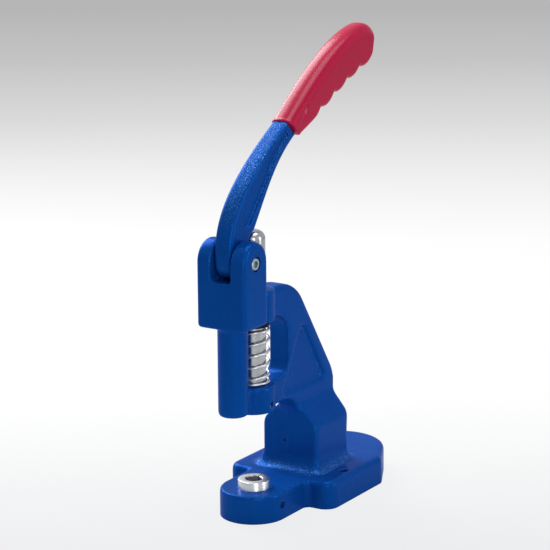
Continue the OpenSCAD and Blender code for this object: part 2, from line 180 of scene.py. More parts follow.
def rounded(corners: Sequence[Corner], steps: int = 8) -> list[Point2]:
    """A closed outline from corners that each have a radius.

    Args:
        corners: Corners as (u, v, radius).
        steps: Number of segments in each rounding.

    Returns:
        Points of the outline in order.
    """
    points: list[Point2] = []
    for i, (u, v, radius) in enumerate(corners):
        a, c = corners[i - 1], corners[(i + 1) % len(corners)]
        points += round_corner(a[:2], (u, v), c[:2], radius, steps) if radius > 0 else [(u, v)]
    return points


def hull(circles: Sequence[Corner], steps: int = 64) -> list[Point2]:
    """The outline of a band stretched round circles.

    Args:
        circles: Circles as (u, v, radius).
        steps: Number of points on each full circle.

    Returns:
        Points of the outline, anticlockwise.
    """
    cloud = sorted({p for u, v, r in circles for p in arc((u, v), r, 0, 360, steps)})

    def chain(points: Sequence[Point2]) -> list[Point2]:
        """One side of the hull."""
        out: list[Point2] = []
        for p in points:
            while len(out) > 1 and turn(out[-2], out[-1], p) <= FLAT:
                out.pop()
            out.append(p)
        return out[:-1]

    def turn(o: Point2, a: Point2, b: Point2) -> float:
        """Twice the area of a triangle, positive when it turns left."""
        return (a[0] - o[0]) * (b[1] - o[1]) - (a[1] - o[1]) * (b[0] - o[0])

    return chain(cloud) + chain(cloud[::-1])


def quarter_round(radius: float, distance: float) -> float:
    """How far a quarter circle lies inside its square, a distance before the square's end.

    Args:
        radius: Radius of the quarter circle.
        distance: Distance left to the end.

    Returns:
        The depth, 0 where the rounding hasn't begun.
    """
    left = radius - max(0.0, distance)
    return 0.0 if left <= 0 else radius - math.sqrt(max(0.0, radius * radius - left * left))


def ring_section(bore: float, radius: float, low: float, high: float, edge: float) -> list[Point2]:
    """The closed section of a ring with chamfered outer edges, as (radius, height)."""
    return [(bore, low), (radius - edge, low), (radius, low + edge), (radius, high - edge),
            (radius - edge, high), (bore, high), (bore, low)]


# ---------------------------------------------------------------- workshop


def activate(obj: bpy.types.Object) -> bpy.types.Object:
    """Makes one object the only selected and the active one, and returns it."""
    bpy.ops.object.select_all(action="DESELECT")
    obj.select_set(True)
    bpy.context.view_layer.objects.active = obj
    return obj


def clean() -> None:
    """Welds the seams of the selected mesh and turns its faces outwards, in edit mode."""
    bpy.ops.mesh.remove_doubles(threshold=WELD)
    bpy.ops.mesh.normals_make_consistent(inside=False)


def edit(obj: bpy.types.Object, work: Callable[[], None]) -> None:
    """Runs work in edit mode with all of an object's mesh selected.

    Args:
        obj: The object.
        work: What to do.
    """
    activate(obj)
    bpy.ops.object.mode_set(mode="EDIT")
    bpy.ops.mesh.select_all(action="SELECT")
    work()
    bpy.ops.object.mode_set(mode="OBJECT")


def modify(obj: bpy.types.Object, kind: str, **settings: Any) -> None:
    """Adds a modifier and applies it.

    Args:
        obj: The object.
        kind: Type of the modifier.
        settings: Its settings.
    """
    activate(obj)
    modifier = obj.modifiers.new(kind.title(), kind)
    for key, value in settings.items():
        setattr(modifier, key, value)
    bpy.ops.object.modifier_apply(modifier=modifier.name)


def settle(obj: bpy.types.Object) -> bpy.types.Object:
    """Puts an object's place, turn and scale into its mesh, and returns it."""
    activate(obj)
    bpy.ops.object.transform_apply(location=True, rotation=True, scale=True)
    return obj


def combine(obj: bpy.types.Object, tool: bpy.types.Object, cut: Cut = Cut.REMOVE) -> bpy.types.Object:
    """Cuts an object with a tool, or unites them, and uses the tool up.

    Args:
        obj: The object to change.
        tool: The other solid, which is deleted.
        cut: What to do.

    Returns:
        The changed object.
    """
    modify(obj, "BOOLEAN", object=tool, operation=cut.value, solver="EXACT")
    bpy.data.objects.remove(tool)
    return obj


def joined(name: str, parts: Sequence[bpy.types.Object]) -> bpy.types.Object:
    """Joins objects into one.

    Args:
        name: Name of the result.
        parts: The objects.

    Returns:
        The joined object.
    """
    activate(parts[0])
    for part in parts[1:]:
        part.select_set(True)
    bpy.ops.object.join()
    parts[0].name = name
    return parts[0]


def turned(name: str, profile: Sequence[Point2], at: Sequence[float] = (0, 0, 0), lying: bool = False,
           steps: int = 96) -> bpy.types.Object:
    """Turns a profile round an axis, as on a lathe.

    Args:
        name: Name of the piece.
        profile: Points as (radius, height), from axis to axis or round a ring's section.
        at: Where height 0 of the axis lies.
        lying: True where the axis runs along X, and False where it runs along Z.
        steps: Number of segments round the axis.

    Returns:
        The turned piece.
    """
    bpy.ops.mesh.primitive_plane_add(size=MM)
    obj = bpy.context.object
    obj.name = name

    def work() -> None:
        """Draws the profile from one vertex and spins it."""
        bpy.ops.mesh.merge(type="CENTER")
        bpy.ops.transform.translate(value=(profile[0][0] * MM, 0, profile[0][1] * MM))
        for a, b in zip(profile, profile[1:]):
            bpy.ops.mesh.extrude_vertices_move(
                TRANSFORM_OT_translate={"value": ((b[0] - a[0]) * MM, 0, (b[1] - a[1]) * MM)})
        bpy.ops.mesh.select_all(action="SELECT")
        bpy.ops.mesh.spin(steps=steps, angle=2 * math.pi, center=(0, 0, 0), axis=(0, 0, 1))
        bpy.ops.mesh.select_all(action="SELECT")
        clean()

    edit(obj, work)
    obj.location = Vector(at) * MM
    obj.rotation_euler = (0, math.pi / 2 if lying else 0, 0)
    return settle(obj)


def rod(name: str, radius: float, low: float, high: float, at: Sequence[float] = (0, 0, 0),
        lying: bool = False, sides: int = 64) -> bpy.types.Object:
    """A plain round or cornered bar, for cutting.

    Args:
        name: Name of the bar.
        radius: Its radius over the corners.
        low: Where it starts on its axis.
        high: Where it ends.
        at: Where 0 of its axis lies.
        lying: True for an axis along X.
        sides: Number of sides.

    Returns:
        The bar.
    """
    middle = Vector(at) + Vector((1, 0, 0) if lying else (0, 0, 1)) * (low + high) / 2
    bpy.ops.mesh.primitive_cylinder_add(vertices=sides, radius=radius * MM, depth=(high - low) * MM,
                                        location=middle * MM, rotation=(0, math.pi / 2 if lying else 0, 0))
    bpy.context.object.name = name
    return settle(bpy.context.object)


def block(name: str, low: Sequence[float], high: Sequence[float]) -> bpy.types.Object:
    """A box between two corners.

    Args:
        name: Name of the box.
        low: Its lowest corner.
        high: Its highest corner.

    Returns:
        The box.
    """
    bpy.ops.mesh.primitive_cube_add(size=1, location=(Vector(low) + Vector(high)) / 2 * MM,
                                    scale=(Vector(high) - Vector(low)) * MM)
    bpy.context.object.name = name
    return settle(bpy.context.object)


def plate(name: str, outline: Sequence[Point2], thickness: float, edge: float = 0.0, middle: float = 0.0,
          plane: Plane = Plane.SIDE) -> bpy.types.Object:
    """A flat blank with rounded edges, from an outline.

    Args:
        name: Name of the blank.
        outline: Points of the outline.
        thickness: Its thickness.
        edge: Radius of the rounding along its edges.
        middle: Where the middle of its thickness lies.
        plane: The plane of the outline.

    Returns:
        The blank.
    """
    curve = bpy.data.curves.new(name, "CURVE")
    curve.dimensions = "2D"
    curve.fill_mode = "BOTH"
    curve.extrude = (thickness / 2 - edge) * MM
    curve.bevel_depth = edge * MM
    curve.offset = -edge * MM
    curve.bevel_resolution = 3
    spline = curve.splines.new("POLY")
    spline.points.add(len(outline) - 1)
    for point, (u, v) in zip(spline.points, outline):
        point.co = (u * MM, v * MM, 0, 1)
    spline.use_cyclic_u = True
    obj = bpy.data.objects.new(name, curve)
    bpy.context.scene.collection.objects.link(obj)
    u, v, w = (Vector(d) for d in plane.value)
    obj.matrix_world = Matrix.Translation(w * middle * MM) @ Matrix((u, v, w)).transposed().to_4x4()
    activate(obj)
    bpy.ops.object.convert(target="MESH")
    obj = bpy.context.object
    settle(obj)
    edit(obj, clean)
    return obj


def skin(name: str, rings: Sequence[Sequence[Vector]]) -> bpy.types.Object:
    """A closed body through rings of points, which no primitive gives.

    Args:
        name: Name of the body.
        rings: Rings that all have the same number of points, in millimetres.

    Returns:
        The body.
    """
    n = len(rings[0])
    faces: list[list[int]] = [list(range(n))[::-1], [(len(rings) - 1) * n + k for k in range(n)]]
    for i in range(len(rings) - 1):
        for k in range(n):
            a, b = i * n + k, i * n + (k + 1) % n
            faces.append([a, b, b + n, a + n])
    mesh = bpy.data.meshes.new(name)
    mesh.from_pydata([p * MM for ring in rings for p in ring], [], faces)
    obj = bpy.data.objects.new(name, mesh)
    bpy.context.scene.collection.objects.link(obj)
    edit(obj, clean)
    return obj


def cast(obj: bpy.types.Object, voxel: float, passes: int) -> None:
    """Flows joined solids into one casting with soft corners, by new faces and smoothing passes."""
    modify(obj, "REMESH", mode="VOXEL", voxel_size=voxel * MM)
    modify(obj, "SMOOTH", factor=0.5, iterations=passes)


def set_screw(name: str, radius: float, ends: Point2, chamfers: Point2, z: float,
              socket: Point2) -> bpy.types.Object:
    """A headless screw along X with a hexagon socket in its outer end.

    Args:
        name: Name of the screw.
        radius: Its radius.
        ends: Where it starts and ends along X.
        chamfers: The chamfer of each end.
        z: Height of its axis.
        socket: Radius over the socket's corners, and its depth.

    Returns:
        The screw.
    """
    (low, high), (a, b), at = ends, chamfers, (0, 0, z)
    profile = [(0, low), (radius - a, low), (radius, low + a), (radius, high - b), (radius - b, high),
               (0, high)]
    screw = turned(name, profile, at, True, 48)
    return combine(screw, rod("socket", socket[0], high - socket[1], high + 1, at, True, 6))


@dataclass
class Shop:
    """Keeps the finished pieces' bookkeeping in one place."""

    made: list[str] = field(default_factory=list)

    def deliver(self, obj: bpy.types.Object, node: str, body: Body, finish: bpy.types.Material,
                angle: float = 35.0) -> bpy.types.Object:
        """Finishes a piece: shading, material, body and the node that it stands for.

        Args:
            obj: The piece.
            node: The CAD node that it replaces.
            body: The body that it rides on.
            finish: Its material.
            angle: Edges sharper than this stay sharp.

        Returns:
            The piece.
        """
        obj.name = f"{node}_finished"
        obj.data.name = obj.name
        obj.data.materials.clear()
        obj.data.materials.append(finish)
        activate(obj)
        bpy.ops.object.shade_smooth_by_angle(angle=math.radians(angle))
        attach(obj, body.value)
        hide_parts(node)
        self.made.append(obj.name)
        LOG.info("%s: %d faces, rides on %s", obj.name, len(obj.data.polygons), body.value)
        return obj


# ---------------------------------------------------------------- finishes


def colour(code: str) -> tuple[float, float, float, float]:
    """A linear colour from an sRGB hex code.

    Args:
        code: Six hex digits.

    Returns:
        Red, green, blue and alpha.
    """
    parts = [int(code[i:i + 2], 16) / 255 for i in (0, 2, 4)]
    red, green, blue = (c / 12.92 if c <= 0.04045 else ((c + 0.055) / 1.055) ** 2.4 for c in parts)
    return red, green, blue, 1.0


def add_node(tree: bpy.types.NodeTree, kind: str, values: dict[Any, Any] | None = None,
             links: dict[Any, Any] | None = None, **settings: Any) -> bpy.types.Node:
    """Adds a node with its settings, values and links.

    Args:
        tree: The node tree.
        kind: Type of the node, without the word that all of them begin with.
        values: Constants by input.
        links: Sources by input: a socket, or a node for its first output.
        settings: Properties of the node.

    Returns:
        The node.
    """
    node = tree.nodes.new(f"ShaderNode{kind}")
    for key, value in settings.items():
        setattr(node, key, value)
    for key, value in (values or {}).items():
        node.inputs[key].default_value = value
    for key, source in (links or {}).items():
        socket = source.outputs[0] if isinstance(source, bpy.types.Node) else source
        tree.links.new(socket, node.inputs[key])
    return node


def empty_tree(owner: bpy.types.Material | bpy.types.World) -> bpy.types.NodeTree:
    """Gives a material or a world an empty node tree.

    Args:
        owner: The material or the world.

    Returns:
        Its node tree.
    """
    owner.use_nodes = True
    owner.node_tree.nodes.clear()
    return owner.node_tree


def painted(name: str,
            dress: Callable[[bpy.types.NodeTree, bpy.types.NodeSocket], Look]) -> bpy.types.Material:
    """A new material whose patterns lie on the piece's own coordinates.

    Args:
        name: Name of the material.
        dress: Adds the patterns, and gives the shader's constants and sources by input.

    Returns:
        The material.
    """
    material = bpy.data.materials.new(name)
    tree = empty_tree(material)
    place = add_node(tree, "TexCoord").outputs["Object"]
    shader = add_node(tree, "BsdfPrincipled", *dress(tree, place))
    add_node(tree, "OutputMaterial", links={"Surface": shader})
    return material


def per_metre(size: float) -> float:
    """The scale of a pattern whose features are a size in millimetres."""
    return 1000 / size


@dataclass(frozen=True)
class BlueEnamel:
    """Stoved enamel on iron cast in sand: a tinted lacquer that keeps its deep blue even where it mirrors
    the light, with a soft orange peel, painted glints (lighter blue points that stand in for highlights) on
    edges, in hollows and on grainy faces, and the sand's grain showing through where the iron wasn't
    dressed."""

    name: str = "blue_enamel_on_cast_iron"
    base: str = "0a52ac"
    deep: str = "084799"
    # light is the colour of the painted glints, lighter points that stand in for highlights.
    light: str = "8cc8f6"
    sheen: str = "6bacff"
    specular: float = 0.04
    roughness: float = 0.27
    metallic: float = 0.22
    clouds: float = 38.0
    flow: float = 11.0
    peel: float = 2.4
    grain: float = 0.85
    grain_low: float = 0.03
    grain_high: float = 0.03
    grain_from: float = 225.0
    grain_to: float = 290.0
    dressed_x: Point2 = (0.55, 0.9)
    dressed_grain: float = 0.12
    edge_bend: Point2 = (0.52, 0.60)
    hollow_bend: Point2 = (0.49, 0.44)
    glint_speck: Point2 = (0.56, 0.68)
    foot: Point2 = (22.9, 30.0)
    foot_normal: Point2 = (0.985, 0.93)
    gloss: Point2 = (-0.05, 0.08)
    flow_bump: Point2 = (0.35, 0.35)
    peel_bump: Point2 = (0.30, 0.12)
    grain_bump: float = 0.40

    def build(self) -> bpy.types.Material:
        """Builds the material."""
        return painted(self.name, self.dress)

    def dress(self, tree: bpy.types.NodeTree, place: bpy.types.NodeSocket) -> Look:
        """Adds the enamel's patterns.

        Args:
            tree: The material's node tree.
            place: The piece's coordinates.

        Returns:
            The shader's constants and sources by input.
        """
        noises = ((self.clouds, 3.0, 0.5), (self.flow, 2.0, 0.5), (self.peel, 1.5, 0.5),
                  (self.grain, 2.0, 0.65))
        clouds, flow, peel, sand = (
            add_node(tree, "TexNoise", {"Scale": per_metre(size), "Detail": detail, "Roughness": rough},
                     {"Vector": place}) for size, detail, rough in noises)
        height = add_node(tree, "SeparateXYZ", links={0: place}).outputs["Z"]
        geometry = add_node(tree, "NewGeometry").outputs
        bend = geometry["Pointiness"]
        facing = add_node(tree, "SeparateXYZ", links={0: geometry["Normal"]}).outputs
        sideways = add_node(tree, "Math", links={0: facing["X"]}, operation="ABSOLUTE")
        # The flat sides were dressed smooth, so that the sand's grain shows on the other faces only.
        undressed = add_node(tree, "MapRange", {
            "From Min": self.dressed_x[0], "From Max": self.dressed_x[1], "To Min": 1.0,
            "To Max": self.dressed_grain}, {"Value": sideways})
        rising = add_node(tree, "MapRange", {
            "From Min": self.grain_from * MM, "From Max": self.grain_to * MM, "To Min": self.grain_low,
            "To Max": self.grain_high}, {"Value": height}, interpolation_type="SMOOTHSTEP")
        rough = add_node(tree, "Math", links={0: rising, 1: undressed}, operation="MULTIPLY")
        # Painted glints: lighter blue points from the sand's pattern are mixed into the colour on edges, in
        # hollows, on the grainy faces and in the hollow round the column's foot.
        low, high = (level * MM for level in self.foot)
        edge, hollow, glint_speck, above, below, slanting = (
            add_node(tree, "MapRange", {"From Min": start, "From Max": full}, {"Value": source})
            for source, (start, full) in (
                (bend, self.edge_bend), (bend, self.hollow_bend), (sand, self.glint_speck),
                (height, (low, low + 0.5 * MM)), (height, (high, low)), (facing["Z"], self.foot_normal)))
        foot = add_node(tree, "Math", links={0: above, 1: below}, operation="MULTIPLY")
        foot = add_node(tree, "Math", links={0: foot, 1: slanting}, operation="MULTIPLY")
        share = add_node(tree, "Math", links={0: edge, 1: hollow}, operation="MAXIMUM")
        for grainy in (rough, foot):
            share = add_node(tree, "Math", links={0: share, 1: grainy}, operation="MAXIMUM")
        painted_glints = add_node(tree, "Math", links={0: glint_speck, 1: share}, operation="MULTIPLY")
        tint = add_node(tree, "Mix", {6: colour(self.base), 7: colour(self.deep)}, {0: clouds},
                        data_type="RGBA")
        tint = add_node(tree, "Mix", {7: colour(self.light)}, {0: painted_glints, 6: tint.outputs[2]},
                        data_type="RGBA")
        least, most = (self.roughness + spread for spread in self.gloss)
        gloss = add_node(tree, "MapRange", {"To Min": least, "To Max": most}, {"Value": flow})
        bump: dict[str, bpy.types.Node] = {}
        for pattern, (strength, depth) in ((flow, self.flow_bump), (peel, self.peel_bump)):
            bump = {"Normal": add_node(tree, "Bump", {"Strength": strength, "Distance": depth * MM},
                                       {"Height": pattern, **bump})}
        grain = add_node(tree, "Bump", {"Distance": self.grain_bump * MM},
                         {"Strength": rough, "Height": sand, **bump})
        return ({"Metallic": self.metallic, "Specular IOR Level": self.specular,
                 "Specular Tint": colour(self.sheen)},
                {"Base Color": tint.outputs[2], "Roughness": gloss, "Normal": grain})


@dataclass(frozen=True)
class RedVinyl:
    """Soft PVC, injection moulded over the lever: saturated crimson, glossy as moulded, with faint flow
    clouds and the finest grain of a polished mould."""

    name: str = "red_soft_pvc_moulded"
    base: str = "ca0a46"
    deep: str = "ba083e"
    specular: float = 0.28
    roughness: float = 0.24
    gloss: Point2 = (-0.04, 0.06)
    flow: float = 26.0
    grain: float = 2.5
    grain_bump: Point2 = (0.03, 0.05)

    def build(self) -> bpy.types.Material:
        """Builds the material."""
        return painted(self.name, self.dress)

    def dress(self, tree: bpy.types.NodeTree, place: bpy.types.NodeSocket) -> Look:
        """Adds the vinyl's patterns.

        Args:
            tree: The material's node tree.
            place: The piece's coordinates.

        Returns:
            The shader's constants and sources by input.
        """
        flow, grain = (
            add_node(tree, "TexNoise", {"Scale": per_metre(size), "Detail": detail}, {"Vector": place})
            for size, detail in ((self.flow, 2.0), (self.grain, 1.0)))
        tint = add_node(tree, "Mix", {6: colour(self.base), 7: colour(self.deep)}, {0: flow},
                        data_type="RGBA")
        least, most = (self.roughness + spread for spread in self.gloss)
        gloss = add_node(tree, "MapRange", {"To Min": least, "To Max": most}, {"Value": flow})
        strength, depth = self.grain_bump
        bump = add_node(tree, "Bump", {"Strength": strength, "Distance": depth * MM}, {"Height": grain})
        return ({"Specular IOR Level": self.specular},
                {"Base Color": tint.outputs[2], "Roughness": gloss, "Normal": bump})


@dataclass(frozen=True)
class TurnedSteel:
    """Steel as it leaves the lathe or the plating bath: the tool's fine rings run round the axis, which is
    drawn a little coarser than the real feed so that it shows, with darker oil film between."""

    name: str
    base: str = "cfd2d5"
    film: str = "9aa0a6"
    roughness: float = 0.2
    feed: float = 0.35
    bump: float = 0.10
    lying: bool = False
    film_share: float = 0.35
    film_from: Point2 = (0.35, 0.75)
    gloss: Point2 = (-0.05, 0.1)
    ring_depth: float = 0.05
    blot: float = 5.0
    squeeze: float = 0.02

    def build(self) -> bpy.types.Material:
        """Builds the material."""
        return painted(self.name, self.dress)

    def dress(self, tree: bpy.types.NodeTree, place: bpy.types.NodeSocket) -> Look:
        """Adds the rings and the film.

        Args:
            tree: The material's node tree.
            place: The piece's coordinates.

        Returns:
            The shader's constants and sources by input.
        """
        thin = self.squeeze
        scale = (1.0, thin, thin) if self.lying else (thin, thin, 1.0)
        stretched = add_node(tree, "Mapping", {"Scale": scale}, {"Vector": place})
        rings, film = (
            add_node(tree, "TexNoise", {"Scale": per_metre(size), "Detail": detail}, {"Vector": source})
            for size, detail, source in ((self.feed, 2.0, stretched), (self.blot, 4.0, place)))
        bare, covered = self.film_from
        share = add_node(tree, "MapRange", {
            "From Min": bare, "From Max": covered, "To Max": self.film_share}, {"Value": film})
        tint = add_node(tree, "Mix", {6: colour(self.base), 7: colour(self.film)}, {0: share},
                        data_type="RGBA")
        least, most = (self.roughness + spread for spread in self.gloss)
        gloss = add_node(tree, "MapRange", {"To Min": least, "To Max": most}, {"Value": rings})
        bump = add_node(tree, "Bump", {"Strength": self.bump, "Distance": self.ring_depth * MM},
                        {"Height": rings})
        return {"Metallic": 1.0}, {"Base Color": tint.outputs[2], "Roughness": gloss, "Normal": bump}


@dataclass(frozen=True)
class Finishes:
    """Every finish of the press, built once."""

    stand: bpy.types.Material
    lever: bpy.types.Material
    grip: bpy.types.Material
    ram: bpy.types.Material
    holder: bpy.types.Material
    wire: bpy.types.Material
    dark: bpy.types.Material
    plated: bpy.types.Material
    bronze: bpy.types.Material

    @classmethod
    def build(cls) -> Finishes:
        """Builds the finishes.

        Returns:
            The finishes.
        """
        return cls(
            stand=BlueEnamel().build(),
            # The lever's upper end gets more of the sand's grain, and with it more painted glints.
            lever=BlueEnamel("blue_enamel_on_sand_cast_lever", grain_low=0.04, grain_high=0.75).build(),
            grip=RedVinyl().build(),
            ram=TurnedSteel("ground_steel_ram", "c2c4c6", roughness=0.16, feed=0.25, bump=0.9).build(),
            holder=TurnedSteel("turned_steel_die_holder", "e4e6e8", roughness=0.26, feed=0.4,
                               bump=0.6).build(),
            wire=TurnedSteel("drawn_spring_wire", "dcdee0", roughness=0.3, feed=0.8, bump=0.05).build(),
            dark=TurnedSteel("blackened_steel", "1e1f22", "101113", 0.42, film_share=0.6).build(),
            plated=TurnedSteel("zinc_plated_steel", "b4c2c8", "8fa0a8", 0.3, lying=True).build(),
            bronze=TurnedSteel("bearing_bronze", "b58d4f", "8a6a3a", 0.32, lying=True).build(),
        )


# ---------------------------------------------------------------- the press


@dataclass
class Stand:
    """The one casting: bench plate with its lobe, column, arm, guide lugs, post and fork head."""

    base_t: float = 23.0
    base_w: float = 99.99
    base_rear: float = 169.5
    base_rear_r: float = 38.5
    wing_front: float = 35.5
    wing_rear: float = 121.5
    wing_front_r: float = 11.5
    wing_rear_r: float = 5.0
    wing_edge: float = 4.5
    lobe_r: float = 27.3
    lobe_edge: float = 2.2
    neck_r: float = 5.0
    land_r: float = 25.2
    land_rear: float = 39.0
    land_corner_r: float = 1.5
    land_d: float = 0.4
    bench_holes: tuple[Point2, Point2] = ((41.0, 71.0), (-41.0, 100.0))
    bench_hole_r: float = 3.5
    column_front: float = 52.7
    column_half: float = 26.0
    column_rear_half: float = 24.6
    column_corner: tuple[float, float] = (3.2, 5.0)
    shoulder: tuple[float, float, float] = (62.0, 77.8, 10.0)
    foot_front_r: float = 13.0
    foot_side_r: float = 7.0
    arm_t: float = 19.5
    arm_edge: float = 3.0
    arm_top: float = 184.0
    arm_rear: float = 109.0
    arm_slope_z: float = 93.5
    arm_slope: float = 56.3
    arm_crown_r: float = 40.0
    arm_rear_r: float = 30.0
    arm_foot_r: float = 20.0
    recess_d: float = 3.5
    recess: tuple[Corner, ...] = ((28.0, 5.5, 3.0), (60.0, 61.5, 5.0), (95.0, 5.5, 3.0))
    lug_r: float = 18.0
    lug_edge: float = 1.6
    lower_lug: Point2 = (86.8, 109.0)
    upper_lug: Point2 = (160.0, 186.0)
    window_rear: float = 38.4
    window_low_r: float = 10.0
    window_high_r: float = 19.0
    post_r: float = 12.0
    post_edge: float = 3.0
    post_bottom: float = 89.3
    pivot_y: float = -28.0
    pivot_z: float = 213.3
    fork_w: float = 45.2
    ear_r: float = 17.095
    fork_bottom: float = 161.5
    fork_edge: float = 3.8
    slot_w: float = 18.0
    slot_floor: float = 199.3
    screw_z: float = 94.3
    clamp_z: float = 12.0
    guide_r: float = 10.65
    ram_way_r: float = 11.2
    seat_r: float = 12.9
    seat_low: float = 5.0
    clamp_hole_r: float = 3.1
    screw_hole_r: float = 2.25
    pivot_bore_r: float = 4.55
    pivot_thread_r: float = 4.05
    counterbore_r: float = 6.0
    counterbore_d: float = 5.8
    pit: Point2 = (-5.05, 46.4)
    pit_r: float = 1.1
    voxel: float = 1.25
    spare: float = 40.0

    def bench_plate(self) -> list[bpy.types.Object]:
        """The bench plate: wings, lobe and the hollow corners between them.

        Returns:
            Its blanks, which reach below the base for the cut after casting.
        """
        corners = ((self.wing_front + self.wing_front_r, self.wing_front_r),
                   (self.wing_rear - self.wing_rear_r, self.wing_rear_r))
        wings = hull([(side * (self.base_w / 2 - r), y, r) for y, r in corners for side in (-1, 1)]
                     + [(0, self.base_rear - self.base_rear_r, self.base_rear_r)])
        lobe = hull([(0, 0, self.lobe_r), (0, self.wing_front + 12, self.lobe_r)], 96)
        depth = self.base_t + 10
        middle = self.base_t - depth / 2
        parts = [plate("wings", wings, depth, self.wing_edge, middle, Plane.TOP),
                 plate("lobe", lobe, depth, self.lobe_edge, middle, Plane.TOP)]
        for side in (-1, 1):
            corner = (side * self.lobe_r, self.wing_front)
            centre = plus(corner, (side * self.neck_r, -self.neck_r))
            start = 180 if side > 0 else 0
            outline = [plus(corner, (-side, 1)), plus(corner, (-side, -self.neck_r)),
                       *arc(centre, self.neck_r, start, 90, 8), plus(corner, (side * self.neck_r, 1))]
            top = self.base_t - self.lobe_edge
            parts.append(plate("neck", outline, top + 8, 0, (top - 8) / 2, Plane.TOP))
        return parts

    def column_section(self, z: float) -> list[Vector]:
        """One level of the column, as a rectangle with round corners.

        Args:
            z: Height of the level.

        Returns:
            Points round the level.
        """
        low, high, r = self.shoulder
        thin = self.arm_t / 2
        line = [(self.column_half, 0.0),
                *round_corner((self.column_half, 0), (self.column_half, low), (thin, high), r, 16),
                *round_corner((self.column_half, low), (thin, high), (thin, 300), r, 16), (thin, 300)]
        half = next(x0 + (x1 - x0) * (z - z0) / (z1 - z0)
                    for (x0, z0), (x1, z1) in zip(line, line[1:]) if z0 <= z <= z1 and z1 > z0)
        share = (half - thin) / (self.column_half - thin)
        foot = self.base_t
        front = self.column_front - quarter_round(self.foot_front_r, z - foot)
        flare = quarter_round(self.foot_side_r, z - foot)
        rear = self.arm_rear - 3 + 3 * min(1.0, (z - foot) / (self.arm_slope_z - foot)) + flare
        rear_half = half - share * (self.column_half - self.column_rear_half) + flare
        front_r, rear_r = (self.arm_edge + share * (r - self.arm_edge) for r in self.column_corner)
        front_r, rear_r = front_r + self.column_front - front, rear_r + flare
        half += self.column_front - front
        corners = [(-half, front, front_r), (half, front, front_r), (rear_half, rear, rear_r),
                   (-rear_half, rear, rear_r)]
        return [Vector((x, y, z)) for x, y in rounded(corners, 8)]

    def column(self) -> bpy.types.Object:
        """The column with its hollow foot and sloping shoulders.

        Returns:
            The column, whose levels lie close together at the foot and the shoulders.
        """
        levels = [self.base_t - 3, *[self.base_t + self.foot_front_r * (i / 10) ** 1.5 for i in range(11)],
                  *[40 + 2 * i for i in range(8)], *[55 + i for i in range(36)]]
        return skin("column", [self.column_section(z) for z in levels])

    def arm(self) -> bpy.types.Object:
        """The arm with its window and the three-cornered recess in each side.

        Returns:
            The arm.
        """
        crown_y = self.arm_rear - (self.arm_top - self.arm_slope_z) / math.tan(math.radians(self.arm_slope))
        low, root, front = self.lower_lug[0], 66, -3
        outline = rounded([
            (front, low, 0), (front, self.arm_top, 0), (crown_y, self.arm_top, self.arm_crown_r),
            (self.arm_rear, self.arm_slope_z, self.arm_rear_r), (self.arm_rear - 1.2, root, 0),
            (self.column_front, root, 0), (self.column_front, low, self.arm_foot_r)], 16)
        arm = plate("arm", outline, self.arm_t, self.arm_edge)
        (_, sill), (lintel, _), rear = self.lower_lug, self.upper_lug, self.window_rear
        window = rounded([(-20, sill, 0), (rear, sill, self.window_low_r),
                          (rear, lintel, self.window_high_r), (-20, lintel, 0)])
        combine(arm, plate("window", window, self.spare))
        recess = rounded([(y, low + z, r) for y, z, r in self.recess])
        for side in (-1, 1):
            combine(arm, plate("recess", recess, 2 * self.recess_d, 0, side * self.arm_t / 2))
        return arm

    def head(self) -> list[bpy.types.Object]:
        """The guide lugs, the post and the fork head with its slot.

        Returns:
            Its blanks.
        """
        parts = []
        edge = self.lug_edge
        for low, high in (self.lower_lug, self.upper_lug):
            parts.append(turned("lug", [(0, low), *arc((self.lug_r - edge, low + edge), edge, -90, 0, 4),
                                        *arc((self.lug_r - edge, high - edge), edge, 0, 90, 4), (0, high)]))
        low, edge, high = self.post_bottom, self.post_edge, self.fork_bottom + 3
        parts.append(turned("post", [(0, low), *arc((self.post_r - edge, low + edge), edge, -90, 0, 5),
                                     (self.post_r, high), (0, high)], at=(0, self.pivot_y, 0)))
        y, r = self.pivot_y, self.ear_r
        side = [(y - r, self.fork_bottom), (y + r, self.fork_bottom),
                *arc((y, self.pivot_z), r, 0, 180, 32)]
        head = plate("fork_head", side, self.fork_w, self.fork_edge)
        combine(head, block("slot", (-self.slot_w / 2, y - 30, self.slot_floor),
                            (self.slot_w / 2, y + 30, self.pivot_z + self.spare)))
        return parts + [head]

    def machining(self) -> list[bpy.types.Object]:
        """The tools that cut the bores, seats and holes after casting.

        Returns:
            The tools.
        """
        top, far = self.base_t, self.spare
        r, low, mouth = self.seat_r, self.seat_low, self.seat_r + 0.6
        seat = [(0, low), (r, low), (r, top - 1.0), (mouth, top - 0.4), (mouth, top + 4), (0, top + 4)]
        r, mouth = self.bench_hole_r, self.bench_hole_r + 0.9
        hole = [(0, -1), (r, -1), (r, top - 0.7), (mouth, top + 0.2), (mouth, top + 5), (0, top + 5)]
        pivot, pit_x, pit_z = (0, self.pivot_y, self.pivot_z), *self.pit
        return [
            turned("seat", seat),
            rod("clamp_hole", self.clamp_hole_r, 0, far, (0, 0, self.clamp_z), True),
            rod("lower_guide", self.guide_r, 80, 112, sides=96),
            rod("upper_guide", self.guide_r, 150, 190, sides=96),
            rod("ram_way", self.ram_way_r, self.upper_lug[1], 245, sides=96),
            rod("die_screw_hole", self.screw_hole_r, 0, 30, (0, 0, self.screw_z), True),
            rod("pivot_bore", self.pivot_bore_r, 0, far, pivot, True),
            rod("pivot_thread", self.pivot_thread_r, -far, 1, pivot, True),
            rod("counterbore", self.counterbore_r, self.fork_w / 2 - self.counterbore_d, far, pivot, True),
            rod("pit", self.pit_r, 0, 1.3, (pit_x, self.column_front, pit_z), True, 16),
            *[turned("bench_hole", hole, (*place, 0), steps=64) for place in self.bench_holes],
        ]

